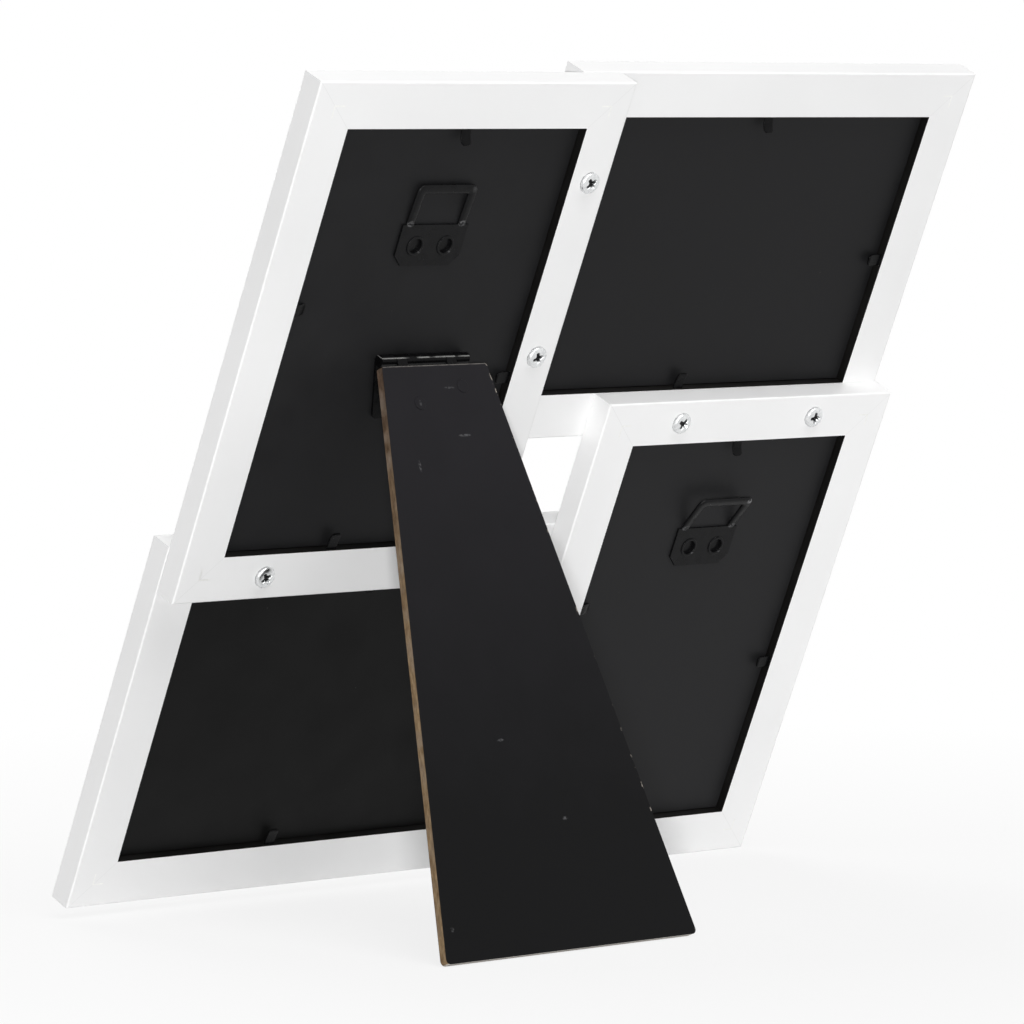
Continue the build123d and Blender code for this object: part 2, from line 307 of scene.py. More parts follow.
def black_hardboard(name, low, high):
    """Mottled black paper; a speck is where a cell's middle is nearer than a fiftieth of its size."""
    # Uncoated paper gives the eye a soft black with hardly a reflection. Its fibres are thinner than
    # a pixel, so they are drawn as grains of 0.9 mm.
    material, tree, shader, place = new_material(f"black_hardboard_{name}")
    mottle = add(tree, "TexNoise", place, per_mm(MOTTLE), 5.0)
    shade = add(tree, "MapRange", mottle, *MOTTLED)
    face = add(tree, "Mix", shade, linear(low), linear(high), data_type="RGBA")
    speck = add(tree, "TexVoronoi", place, per_mm(SPECKS_APART))
    speck = add(tree, "MapRange", speck, *SPECK, SPECK_SHARE, 0.0)
    face = add(tree, "Mix", speck, face, linear(DUST), data_type="RGBA")
    rough = add(tree, "MapRange", mottle, *NOISE, *BOARD_ROUGH)
    fibres = add(tree, "TexNoise", place, per_mm(FIBRES), 4.0)
    relief(tree, shader, face, rough, fibres, strength=0.18, depth_mm=0.05)
    shader.inputs["Specular IOR Level"].default_value = 0.12
    return material


for name, blacks in BLACKS_WITH_SHADE.items():
    paint(black_hardboard(name, *blacks), f"{name}_back_panel")

# %% [markdown]
# ## The strut board
#
# The strut is sawn from fibreboard with black paper on both faces, so its sawn edges are raw brown
# fibre between two thin black lines. Faces and edges could have two materials, but the solid is one
# mesh of loose triangles, and a measure is simpler: a point's depth from the board's middle tells
# paper from fibre. The board has its own directions, across, down from the hinge and out. They stay
# right when the strut folds, because Object coordinates go with it. The paper carries a painted
# sheen, greyest near the hinge, in place of the board's reflection.

# %% The strut's own measure
OPEN = np.radians(44.3)
STRUT_T = 3.0
KNUCKLE_R = 2.0
PAPER = 0.12
opened = np.array([
    [1, 0, 0],
    [0, -np.cos(OPEN), np.sin(OPEN)],
    [0, np.sin(OPEN), np.cos(OPEN)],
])
strut_axes = opened @ BACK_AXES
# Paper on fibreboard gives the eye a black with a low sheen, and dull warm edges
strut, tree, shader, place = new_material("black_fibreboard_raw_edges")
across, down, out = (along(tree, place, hinge_line, axis) for axis in strut_axes)
depth = add(tree, "Math", out, KNUCKLE_R + STRUT_T / 2, operation="SUBTRACT")
depth = add(tree, "Math", depth, operation="ABSOLUTE")
is_paper = add(tree, "MapRange", depth, STRUT_T / 2 - PAPER, STRUT_T / 2 - 0.5 * PAPER)
print("down the strut is", strut_axes[1].round(3))

# %% Black paper, with a painted sheen that is greyest near the hinge
STRUT_L = 201.6
PAINTED_SHEEN, PAPER_BLACK = "#1A191C", "#050506"
# The painted sheen fades between these shares of the length, earlier by up to the mottle's share
PAINTED_SHEEN_ENDS = (0.1, 0.9)
STRUT_MOTTLE = 18
MOTTLE_SHARE = 0.25
mottle = add(tree, "TexNoise", place, per_mm(STRUT_MOTTLE), 5.0)
# The paper is painted greyer near the hinge: a painted sheen in place of its reflection
away = add(tree, "Math", down, STRUT_L, operation="DIVIDE")
away = add(tree, "Math", mottle, MOTTLE_SHARE, away, operation="MULTIPLY_ADD")
away = add(tree, "MapRange", away, *PAINTED_SHEEN_ENDS)
face = add(tree, "Mix", away, linear(PAINTED_SHEEN), linear(PAPER_BLACK), data_type="RGBA")
print("strut", STRUT_L, "mm long, paper", PAPER, "mm thick")

# %% [markdown]
# ## Scuffs
#
# A few short scuffs cross the strut's paper. They could be small pictures laid on the board, but a soft
# ellipse in the board's own millimetres needs no picture and stays where it was measured. A noise of
# fibre size then breaks it up. The painted highlights on the hinge and the hangers below are drawn in
# the same way, so the ellipse is a function.

# %% Soft marks on the paper
SOFT_EDGE = (0.3, 1.0)
SCUFFED = "#6A6A6C"
SCUFF_SHARE = 0.4
BROKEN = (0.42, 0.58)
# Each scuff: its place across and down the strut, half its width and half its height
SCUFFS = [
    (5.9, 28.0, 3.0, 0.5), (-16.5, 37.7, 0.6, 2.2), (-10.2, 130.9, 1.6, 0.6), (9.5, 158.7, 1.3, 0.8),
    (-49.0, 190.7, 0.9, 0.9), (4.0, 11.5, 2.6, 0.4), (-10.1, 16.4, 0.5, 1.1),
]


def ellipse(tree, across, up, x, y, half_x, half_y, strength):
    """Soft spot: the strength within an ellipse, fading to 0 where (dx/a)^2 + (dy/b)^2 reaches 1."""
    away = 0.0
    for value, middle, half in ((across, x, half_x), (up, y, half_y)):
        share = add(tree, "Math", value, middle, operation="SUBTRACT")
        share = add(tree, "Math", share, half, operation="DIVIDE")
        away = add(tree, "Math", share, share, away, operation="MULTIPLY_ADD")
    return add(tree, "MapRange", away, *SOFT_EDGE, strength, 0.0)


# The fibres that break up a scuff are drawn as coarse as those of the panels, so that they show
breaks = add(tree, "MapRange", add(tree, "TexNoise", place, per_mm(FIBRES), 3.0), *BROKEN)
for spot in SCUFFS:
    mark = ellipse(tree, across, down, *spot, SCUFF_SHARE)
    mark = add(tree, "Math", mark, breaks, operation="MULTIPLY")
    face = add(tree, "Mix", mark, face, linear(SCUFFED), data_type="RGBA")
print("scuffs", len(SCUFFS))

# %% [markdown]
# ## Worn edges of the paper
#
# Along the top the paper's edge is rubbed pale, and the right edge has a few pale nicks. They could be
# chipped out of the mesh, but they are too shallow to change its outline, so only the colour changes.
# Both lie within about half a millimetre of the board's outline. That is a trapezium, so its half
# width at a point follows from how far down the point is.

# %% Rubbed top and nicked side
STRUT_TOP = 3.5
STRUT_TOP_W = 45.4
STRUT_FOOT_W = 109.3
# Wear fades between these distances from the edges
NEAR_SIDE = (0.1, 0.6)
NEAR_TOP = (0.1, 0.45)
WEAR_SHARE = 0.6
NICKED, RUBBED_PAPER = "#B4ACA2", "#7E7A76"
# Sizes in mm: from nick to nick, and the rubbed stretches
NICKS_APART, RUBS = 2.5, 3
NICKS = (0.6, 0.66)
RUBBED_ENDS = (0.3, 0.55)
RUBBED_SHARES = (0.3, 1.0)
half = add(tree, "MapRange", down, STRUT_TOP, STRUT_L, STRUT_TOP_W / 2, STRUT_FOOT_W / 2)
to_side = add(tree, "Math", half, across, operation="SUBTRACT")
near = add(tree, "MapRange", to_side, *NEAR_SIDE, WEAR_SHARE, 0.0)
nicks = add(tree, "MapRange", add(tree, "TexNoise", place, per_mm(NICKS_APART), 3.0), *NICKS)
nicks = add(tree, "Math", near, nicks, operation="MULTIPLY")
to_top = add(tree, "Math", down, STRUT_TOP, operation="SUBTRACT")
near = add(tree, "MapRange", to_top, *NEAR_TOP, WEAR_SHARE, 0.0)
rubbed = add(tree, "TexNoise", place, per_mm(RUBS), 3.0)
rubbed = add(tree, "MapRange", rubbed, *RUBBED_ENDS, *RUBBED_SHARES)
rubbed = add(tree, "Math", near, rubbed, operation="MULTIPLY")
face = add(tree, "Mix", rubbed, face, linear(RUBBED_PAPER), data_type="RGBA")
face = add(tree, "Mix", nicks, face, linear(NICKED), data_type="RGBA")
print("strut from", STRUT_TOP_W, "to", STRUT_FOOT_W, "mm wide")

# %% [markdown]
# ## Raw fibre
#
# Sawn fibreboard is a felt of brown fibres. A wood texture would show rings, which it doesn't have, so
# a noise is stretched down the board. The fibre is darker near the hinge, clearer further down and
# dusty in patches, and the foot's edge carries a painted highlight of almost white. At the end the
# paper is laid over the fibre by the depth that was measured first.

# %% Brown fibre at the edges
FIBRE_W = 0.9
FIBRE_STRETCH = 5
DARKER_NEAR_HINGE = ("#32261E", "#5E4C3F")
CLEAR = ("#5C4730", "#978164")
DUSTY, FOOT_HIGHLIGHT = "#877B6F", "#D6D3CE"
# The darker fibre fades between these places down the strut, up to one patch earlier
DARKENING_PATCH = 60.0
DARKENING_ENDS = (30.0, 130.0)
DUST_PATCH = 6
DUST_ENDS = (0.45, 0.7)
DUST_SHARE = 0.5
FOOT_HIGHLIGHT_ENDS = (STRUT_L - 0.4, STRUT_L - 0.1)
FOOT_SHARE = 0.85
slow_down = add(tree, "Math", down, 1 / FIBRE_STRETCH, operation="MULTIPLY")
# Real fibres are a tenth as wide as these, which are drawn to show; the measure here is already in mm
felt = add(tree, "CombineXYZ", across, slow_down, out)
grain = add(tree, "TexNoise", felt, 1.0 / FIBRE_W, 6.0, 0.65)
# The fibre is darker towards the hinge and lighter further down
clear = add(tree, "Math", mottle, DARKENING_PATCH, down, operation="MULTIPLY_ADD")
clear = add(tree, "MapRange", clear, *DARKENING_ENDS)
low, high = (add(tree, "Mix", clear, linear(darker_near_hinge), linear(pale), data_type="RGBA")
             for darker_near_hinge, pale in zip(DARKER_NEAR_HINGE, CLEAR))
fibre = add(tree, "Mix", add(tree, "MapRange", grain, *NOISE), low, high, data_type="RGBA")
dusty = add(tree, "TexNoise", place, per_mm(DUST_PATCH), 4.0)
dusty = add(tree, "MapRange", dusty, *DUST_ENDS, 0.0, DUST_SHARE)
fibre = add(tree, "Mix", dusty, fibre, linear(DUSTY), data_type="RGBA")
# The foot's edge is painted almost white: a painted highlight on a face that looks down at the table
foot = add(tree, "MapRange", down, *FOOT_HIGHLIGHT_ENDS, 0.0, FOOT_SHARE)
fibre = add(tree, "Mix", foot, fibre, linear(FOOT_HIGHLIGHT), data_type="RGBA")
print("fibres", FIBRE_W, "mm wide and", FIBRE_STRETCH * FIBRE_W, "mm long")

# %% Paper over fibre
FIBRE_ROUGH, PAPER_ROUGH = 0.88, 0.4
board = add(tree, "Mix", is_paper, fibre, face, data_type="RGBA")
rough = add(tree, "MapRange", is_paper, 0.0, 1.0, FIBRE_ROUGH, PAPER_ROUGH)
relief(tree, shader, board, rough, grain, strength=0.2, depth_mm=0.08)
shader.inputs["Specular IOR Level"].default_value = 0.1
paint(strut, "strut_board", "strut_rivets")

# %% [markdown]
# ## Black lacquered steel
#
# The hinge is pressed from thin steel and dipped in black lacquer, which runs a little and leaves a
# fine wave in its gloss. Along the barrel's crest a thin pale line is painted on as a highlight,
# broken into stretches. The line is hardly a pixel wide, so a change of colour is enough, and one
# shader exports more faithfully.

# %% Lacquered hinge
HINGE_W = 38.0
HIGHLIGHT_GREY = "#A8A8A6"
# The painted highlight's half height and share, and how far up the knuckle's radius it lies
HIGHLIGHT_HALF = 0.2
HIGHLIGHT_SHARE = 0.5
HIGHLIGHT_UP = 0.75
# Sizes in mm: the lacquer's runs, and the stretches that break up the painted highlight
RUNS, LINE_GAP_PATCH = 3, 5
LINE_GAPS = (0.34, 0.5)
LACQUER_ROUGH = (0.2, 0.34)
# Dipped lacquer gives the eye a deep black with soft, wavy highlights
lacquer, tree, shader, place = new_material("black_lacquered_steel")
run = add(tree, "TexNoise", place, per_mm(RUNS), 3.0)
thick = add(tree, "MapRange", run, *NOISE)
coat = add(tree, "Mix", thick, linear("#060607"), linear("#0C0C0D"), data_type="RGBA")
across, up = (along(tree, place, BACK_ORIGIN, axis) for axis in BACK_AXES[:2])
# A painted highlight: a thin pale line along the barrel's crest, broken into stretches
crest = HINGE_ON_BACK[1] + HIGHLIGHT_UP * KNUCKLE_R
painted_line = ellipse(tree, across, up, HINGE_ON_BACK[0], crest, HINGE_W, HIGHLIGHT_HALF, HIGHLIGHT_SHARE)
line_gaps = add(tree, "TexNoise", place, per_mm(LINE_GAP_PATCH), 2.0)
line_gaps = add(tree, "MapRange", line_gaps, *LINE_GAPS)
painted_line = add(tree, "Math", painted_line, line_gaps, operation="MULTIPLY")
coat = add(tree, "Mix", painted_line, coat, linear(HIGHLIGHT_GREY), data_type="RGBA")
rough = add(tree, "MapRange", run, *NOISE, *LACQUER_ROUGH)
relief(tree, shader, coat, rough, run, strength=0.15, depth_mm=0.05)
shader.inputs["Specular IOR Level"].default_value = 0.08
paint(lacquer, *(n for n in nodes if n.endswith(("_leaf", "_pin", "leaf_rivets"))))

# %% [markdown]
# ## Corner nails
#
# Each mitre is held by an angled strip of plain steel, pressed in from behind, of which only the edge
# shows. It could be drawn into the foil, but it is a solid of its own, so it gets a metal of its own.
# A metal's colour is the colour of its reflection. The gloss is dull, because a mirror would turn
# black wherever the strut is opposite.

# %% Bright steel
SHEAR_MARKS = 0.8
STEEL_ROUGH = (0.5, 0.65)
# Sheared steel gives the eye a small pale glint. Its shear marks are drawn coarse, so that they show.
bright, tree, shader, place = new_material("bright_steel")
sheared = add(tree, "TexNoise", place, per_mm(SHEAR_MARKS), 3.0)
tone = add(tree, "MapRange", sheared, *NOISE)
tone = add(tree, "Mix", tone, linear("#F0F0EE"), linear("#FCFCFA"), data_type="RGBA")
rough = add(tree, "MapRange", sheared, *NOISE, *STEEL_ROUGH)
relief(tree, shader, tone, rough, sheared, strength=0.1, depth_mm=0.03)
shader.inputs["Metallic"].default_value = 1.0
paint(bright, *(f"{name}_corner_nails" for name in FRAMES))

# %% [markdown]
# ## Skins carried along a path
#
# The tabs and the loops of the hangers are strips of soft steel, and their bends and rolled edges catch
# the light. A strip could be a box with a bevel and a bend, but a profile carried along a path gives
# both at once and keeps its size exact. The profile is a superellipse: a high power gives it the flat
# faces and soft edges of a sheared strip, and a low one gives it a round back.

# %% Profile, skin and piece
PROFILE_POINTS = 32


def profile(above, below):
    """Points around |a|^p + |b|^p = 1, where the power p is one above the middle and another below."""
    t = np.linspace(0, 2 * np.pi, PROFILE_POINTS, endpoint=False)
    power = np.where(np.sin(t) >= 0, above, below)
    return [np.sign(wave) * np.abs(wave) ** (2 / power) for wave in (np.cos(t), np.sin(t))]


def carried(mid, half, lift, a, b):
    """Closed skins: mid(s) + a(t) half(s) + b(t) lift(s), at station s of each path and point t."""
    paths, stations = mid.shape[:2]
    ring = len(a)
    points = mid[:, :, None] + a[:, None] * half[:, :, None] + b[:, None] * lift[:, :, None]
    s, t = np.meshgrid(np.arange(stations - 1), np.arange(ring), indexing="ij")
    here, beside = ring * s + t, ring * s + (t + 1) % ring
    skin = np.stack([here, beside, beside + ring, here + ring], -1).reshape(-1, 4)
    caps = np.stack([np.arange(ring)[::-1], ring * (stations - 1) + np.arange(ring)])
    shift = stations * ring * np.arange(paths)[:, None, None]
    return standing(points.reshape(-1, 3)), [(f + shift).reshape(-1, f.shape[1]) for f in (skin, caps)]


def new_piece(name, points, face_groups, material, smooth=True):
    """Mesh object at the origin from points and arrays of faces, riding on the collage."""
    mesh = bpy.data.meshes.new(name)
    mesh.from_pydata(points.tolist(), [], [f for group in face_groups for f in group.tolist()])
    mesh.polygons.foreach_set("use_smooth", np.full(len(mesh.polygons), smooth))
    mesh.materials.append(material)
    piece = bpy.data.objects.new(name, mesh)
    bpy.context.scene.collection.objects.link(piece)
    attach(piece, "collage")
    print(name, "faces", len(mesh.polygons), "size", [round(v, 4) for v in piece.dimensions])
    return piece


print("points around a profile", PROFILE_POINTS)

# %% [markdown]
# ## Bent tabs
#
# Soft steel tabs come out of the rebate's walls and hold the back panels in. Fingers have bent most of
# them up again, the top ones furthest, as after a change of picture. The solid tabs lie as they were
# made, and bending their loose triangles would tear them, so new ones take their place. Each is a
# strip along an arc that starts inside the wall, and it narrows at its tip.

# %% Where the tabs are and how far they are bent
PANEL_DEPTH = 3.0
TAB_W = 4.2
TAB_T = 0.5
TAB_L = 6.0
TAB_TIP = 0.8
# A tab leaves the wall this far above the panel, and starts this far inside the wall
TAB_LIFT = 1.7
TAB_ROOT = 1.0
# Each tab: the way from the frame's middle to its wall, its place along the wall, its bend in degrees
PORTRAIT_TABS = [(0, 1, 0.0, 45), (-1, 0, 12.0, -28), (1, 0, -15.0, 8), (0, -1, -5.0, 14)]
LANDSCAPE_TABS = [(0, 1, 0.0, 45), (1, 0, -4.0, 8)]
TABS = {
    "upper_portrait": PORTRAIT_TABS,
    "lower_portrait": PORTRAIT_TABS,
    "upper_landscape": [*LANDSCAPE_TABS, (0, -1, -3.0, 14)],
    "lower_landscape": [*LANDSCAPE_TABS, (0, -1, -10.0, 14)],
}
print("tabs", sum(len(rows) for rows in TABS.values()))

# %% Tabs along arcs
TAB_STEPS = 9
TAB_POWER = 6


def bent_tabs(name):
    """Strips along arcs: reach sin(ks)/k and rise (1 - cos(ks))/k, straight in the wall, where s < 0."""
    x, y, layer, width, height = FRAMES[name]
    rows = np.array(TABS[name], float)
    outward, place, bend = rows[:, :2], rows[:, 2:3], np.radians(rows[:, 3:])
    pocket = np.array([width, height]) / 2 - RAIL_W
    wall = np.array([x, y]) + outward * pocket + place * np.abs(outward[:, ::-1])
    wall = np.column_stack([wall, np.full(len(wall), layer - PANEL_DEPTH + TAB_LIFT)])
    inward = np.column_stack([-outward, np.zeros(len(rows))])
    out = np.array([0.0, 0.0, 1.0])
    side = np.cross(out, inward)
    s = np.concatenate([[-TAB_ROOT], np.linspace(0, TAB_L - TAB_TIP, TAB_STEPS), [TAB_L]])
    curve = bend / TAB_L
    turn = curve * np.clip(s, 0, None)
    reach = np.sin(turn) / curve + np.clip(s, None, 0)
    rise = (1 - np.cos(turn)) / curve
    half_w = TAB_W / 2 - np.clip(s - TAB_L + TAB_TIP, 0, None)
    mid = wall[:, None] + inward[:, None] * reach[..., None] + out * rise[..., None]
    half = side[:, None] * half_w[:, None]
    lift = TAB_T / 2 * (out * np.cos(turn)[..., None] - inward[:, None] * np.sin(turn)[..., None])
    return carried(mid, half, lift, *profile(TAB_POWER, TAB_POWER))


for name in TABS:
    piece = new_piece(f"{name}_bent_tabs", *bent_tabs(name), lacquer)
    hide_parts(f"{name}_tabs")

# %% [markdown]
# ## Wall hangers
#
# The two hangers are stamped from black sheet steel, and their loops were bent out by hand. Grey
# painted highlights lie at the root of each leg, on the rims of the hollow rivets and, brighter the
# more a loop is bent, at its corner. These marks could be drawn on a map, but the two hangers are
# alike, so the same soft ellipses are measured from the root of each loop.

# %% Where the loops are
HANGER_DROP = 42.6
HANGER_UP = 7.5
RIVET_X = 6.5
LOOP_W = 25.2
LOOP_L = 14.6
LOOP_BAR = 3.0
LOOP_X = (LOOP_W - LOOP_BAR) / 2
LOOP_BENDS = {"upper_portrait": np.radians(4.0), "lower_portrait": np.radians(21.0)}
loop_roots = {}
for name in LOOP_BENDS:
    x, y, layer, width, height = FRAMES[name]
    up = y + height / 2 - RAIL_W - HANGER_DROP + HANGER_UP
    loop_roots[name] = np.array([x, up, layer - PANEL_DEPTH])
    print("root of the loop on", name, loop_roots[name])

# %% Stamped black steel
GLINT_GREY = "#8C8C8E"
# Half the width and height of a mark, and its share
LEG_MARK = (1.7, 1.3, 0.5)
LEG_MARK_UP = 0.5
RIM_MARK = (0.6, 0.5, 0.5)
RIM_MARK_OUT = 2.2
CORNER_MARK = (1.5, 1.2)
CORNER_SHARE = 2.0
GLINT_GRAIN = 0.7
GLINT_GRAIN_ENDS = (0.42, 0.6)
STAMPED_ROUGH = (0.24, 0.36)
# Stamped sheet gives the eye a smooth black that is less deep than lacquer. A noise of 0.7 mm breaks
# up the painted highlights on it.
stamped, tree, shader, place = new_material("stamped_black_steel")
run = add(tree, "TexNoise", place, per_mm(RUNS), 3.0)
thick = add(tree, "MapRange", run, *NOISE)
coat = add(tree, "Mix", thick, linear("#0D0D0E"), linear("#131314"), data_type="RGBA")
broken_glints = add(tree, "MapRange", add(tree, "TexNoise", place, per_mm(GLINT_GRAIN), 3.0), *GLINT_GRAIN_ENDS)
# Each mark is a painted highlight: at the root of each leg, below and right of each rivet's rim, and at
# the loop's corner, stronger the more the loop is bent
for name, bend in LOOP_BENDS.items():
    across, up = (along(tree, place, standing(loop_roots[name]), axis) for axis in BACK_AXES[:2])
    top = (LOOP_L - LOOP_BAR / 2) * np.cos(bend)
    marks = [
        *((side * LOOP_X, LEG_MARK_UP, *LEG_MARK) for side in (-1, 1)),
        *((side * RIVET_X + RIM_MARK_OUT, -HANGER_UP - RIM_MARK_OUT, *RIM_MARK) for side in (-1, 1)),
        (LOOP_X, top, *CORNER_MARK, CORNER_SHARE * np.sin(bend)),
    ]
    for spot in marks:
        mark = add(tree, "Math", ellipse(tree, across, up, *spot), broken_glints, operation="MULTIPLY")
        coat = add(tree, "Mix", mark, coat, linear(GLINT_GREY), data_type="RGBA")
rough = add(tree, "MapRange", run, *NOISE, *STAMPED_ROUGH)
relief(tree, shader, coat, rough, run, strength=0.15, depth_mm=0.05)
shader.inputs["Specular IOR Level"].default_value = 0.1
paint(stamped, *(f"{name}_hanger" for name in LOOP_BENDS), "hanger_rivets")

# %% [markdown]
# ## Rolled loops
#
# Stamping rolls the strip of a loop into a bar that is flat below and round on top. The solid loop has
# square edges, and bump in its material would leave its outline square. So a skin with a low power
# above and a high one below is laid over it, between the loop's two outlines, and sinks into the
# hanger's plate at both ends.

# %% Outline of a loop
LOOP_CORNER_R = 2.5
LOOP_HOLE_R = 1.0
SHOULDER = 1.5
CORNER_STEPS = 9


def loop_outline(half_width, top, radius):
    """Outline of a loop: up one leg, round two quarter circles of the radius and down the other leg."""
    quarter = np.linspace(0, np.pi / 2, CORNER_STEPS)
    corner = radius * np.stack([1 - np.cos(quarter), np.sin(quarter)], -1)
    leg = np.array([[-half_width, 0.0], [-half_width, SHOULDER]])
    left = np.concatenate([leg, [-half_width, top - radius] + corner])
    return np.concatenate([left, left[::-1] * [-1, 1]])


print("points on an outline", len(loop_outline(LOOP_W / 2, LOOP_L, LOOP_CORNER_R)))

# %% Skin of a loop
HANGER_T = 0.8
# The skin stands out of both outlines by the swell, and reaches above and below the sheet's middle
SWELL = 0.15
ROLL = 0.8
UNDER = 0.42
ROUND_POWER = 2.6
FLAT_POWER = 8


def rolled_loop(root, bend):
    """Skin between the loop's outlines, in a plane turned by the bend about the root."""
    half = LOOP_W / 2
    outer = loop_outline(half + SWELL, LOOP_L + SWELL, LOOP_CORNER_R + SWELL)
    inner = loop_outline(half - LOOP_BAR - SWELL, LOOP_L - LOOP_BAR - SWELL, LOOP_HOLE_R - SWELL)
    plane = np.array([[1, 0, 0], [0, np.cos(bend), np.sin(bend)]])
    normal = np.array([0, -np.sin(bend), np.cos(bend)])
    rise = np.full(len(outer), ROLL)
    rise[[0, -1]] = UNDER
    a, b = profile(ROUND_POWER, FLAT_POWER)
    b = np.where(b < 0, b * UNDER / ROLL, b)
    mid = root + [0, 0, HANGER_T / 2] + (outer + inner) / 2 @ plane
    across = (outer - inner) / 2 @ plane
    return carried(mid[None], across[None], (rise[:, None] * normal)[None], a, b)


for name, bend in LOOP_BENDS.items():
    piece = new_piece(f"{name}_hanger_loop", *rolled_loop(loop_roots[name], bend), stamped)

# %% [markdown]
# ## Paper
#
# A plain white sheet lies in each pocket, seen from the front through the glass. It is uncoated, so it
# is dull and has a fine tooth. A flat white would do behind glass, but the tooth keeps it from looking
# like plastic, and one noise gives the tooth its colour, its gloss and its height.

# %% White paper
TOOTH = 0.7
SHEET_ROUGH = (0.8, 0.9)
# Uncoated paper gives the eye a warm, matt white. Its tooth is finer than a pixel, and is drawn
# coarser so that it shows.
paper, tree, shader, place = new_material("uncoated_white_paper")
tooth = add(tree, "TexNoise", place, per_mm(TOOTH), 4.0)
tone = add(tree, "Mix", tooth, linear("#EAEAE6"), linear("#F4F4F1"), data_type="RGBA")
rough = add(tree, "MapRange", tooth, *NOISE, *SHEET_ROUGH)
relief(tree, shader, tone, rough, tooth, strength=0.15, depth_mm=0.03)
paint(paper, *(f"{name}_photo_sheet" for name in FRAMES))

# %% [markdown]
# ## Panes
#
# Each pocket has a pane of clear float glass with ground edges. The solid panes lie flat on their
# sheets, and a renderer can't tell two faces in one plane apart: they flicker or turn black. Moving a
# pane would push it through the lip, so it is made again a little thinner, with a breath of air on
# both sides, as paper that is never quite flat gives it.

# %% Shape of a pane
POCKET_PLAY = 0.5
PANE_T = 1.2
AIR = 0.12
GROUND = 0.3


def pane(name):
    """Pane with ground edges: four rectangles, the outer two drawn in, joined in turn and capped."""
    x, y, layer, width, height = FRAMES[name]
    half = np.array([width, height]) / 2 - RAIL_W - POCKET_PLAY
    inset = np.array([GROUND, 0, 0, GROUND])
    level = np.array([AIR, AIR + GROUND, PANE_T - AIR - GROUND, PANE_T - AIR])
    level = layer - REBATE + level
    corners = np.array([[-1, -1], [1, -1], [1, 1], [-1, 1]])
    flat = corners * (half - inset[:, None, None]) + [x, y]
    level = np.broadcast_to(level[:, None, None], (4, 4, 1))
    points = np.concatenate([flat, level], -1).reshape(-1, 3)
    ring, k = np.meshgrid(np.arange(3), np.arange(4), indexing="ij")
    here, beside = 4 * ring + k, 4 * ring + (k + 1) % 4
    walls = np.stack([here, beside, beside + 4, here + 4], -1).reshape(-1, 4)
    return standing(points), [walls, np.array([[3, 2, 1, 0], [12, 13, 14, 15]])]


print("panes", round(PANE_T - 2 * AIR, 2), "mm thick")

# %% Clear float glass
TINT_CLOUD = 90
# Float glass gives the eye sharp reflections and the faintest green
glass, tree, shader, place = new_material("clear_float_glass")
tint = add(tree, "TexNoise", place, per_mm(TINT_CLOUD))
tint = add(tree, "Mix", tint, linear("#F5F9F7"), linear("#FAFCFB"), data_type="RGBA")
tree.links.new(tint, shader.inputs["Base Color"])
shader.inputs["Roughness"].default_value = 0.02
shader.inputs["IOR"].default_value = 1.52
shader.inputs["Transmission Weight"].default_value = 1.0
for name in FRAMES:
    piece = new_piece(f"{name}_float_glass", *pane(name), glass, smooth=False)
    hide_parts(f"{name}_glass")

# %% [markdown]
# ## Lap screws
#
# Two zinc plated pan head screws with a cross recess hold each lap. A head could be turned from a
# profile and its recess cut with a boolean, but that leaves ragged faces. As a height over a round
# grid it stays smooth: a superellipse gives the pan's flat top and round shoulder, and the recess is
# taken out of it. Its wings are deepest in the middle, and four short cuts lie between them.

# %% Seats of the screws
PITCH = 64.0
# Each lap: its middle (right, up) and the way along its rail
laps = np.array([
    [SHORT - RAIL_W / 2, -SHORT / 2, 0, 1],
    [SHORT / 2, RAIL_W / 2 - LONG, 1, 0],
    [SPAN - SHORT / 2, RAIL_W / 2 - SHORT, 1, 0],
    [LONG - RAIL_W / 2, SHORT / 2 - SPAN, 0, 1],
])
seats = np.concatenate([laps[:, :2] + end * PITCH / 2 * laps[:, 2:] for end in (-1, 1)])
print("screws at", seats.round(1).tolist())

# %% Cross recess
WING_L = 4.8
WING_W = 1.2
# A wing's walls fall over this width, and its floor over this length from its end
WING_EDGE = 0.3
WING_SLOPE = 1.1


def wing(a, b):
    """Share of the recess's depth in a wing along a: a ramp across it times a ramp from its end."""
    width = np.clip((WING_W / 2 + WING_EDGE / 2 - np.abs(b)) / WING_EDGE, 0, 1)
    length = np.clip((WING_L / 2 - np.abs(a)) / WING_SLOPE, 0, 1)
    return width * length


def cross(a, b):
    """Two wings at right angles: the deeper of the two at each point."""
    return np.maximum(wing(a, b), wing(b, a))


print("share of the depth 0, 1 and 2 mm along a wing", cross(np.arange(3), np.zeros(3)).round(2))

# %% Height of a head
HEAD_R = 3.8
HEAD_H = 1.6
PAN_POWER = 4
RECESS_D = 1.15
# The short cuts are this share of the cross in size and depth
RAY = 0.6
# Rings lie closer together towards the rim, where the shoulder curves
RINGS = 34
RING_POWER = 0.8
SECTORS = 112


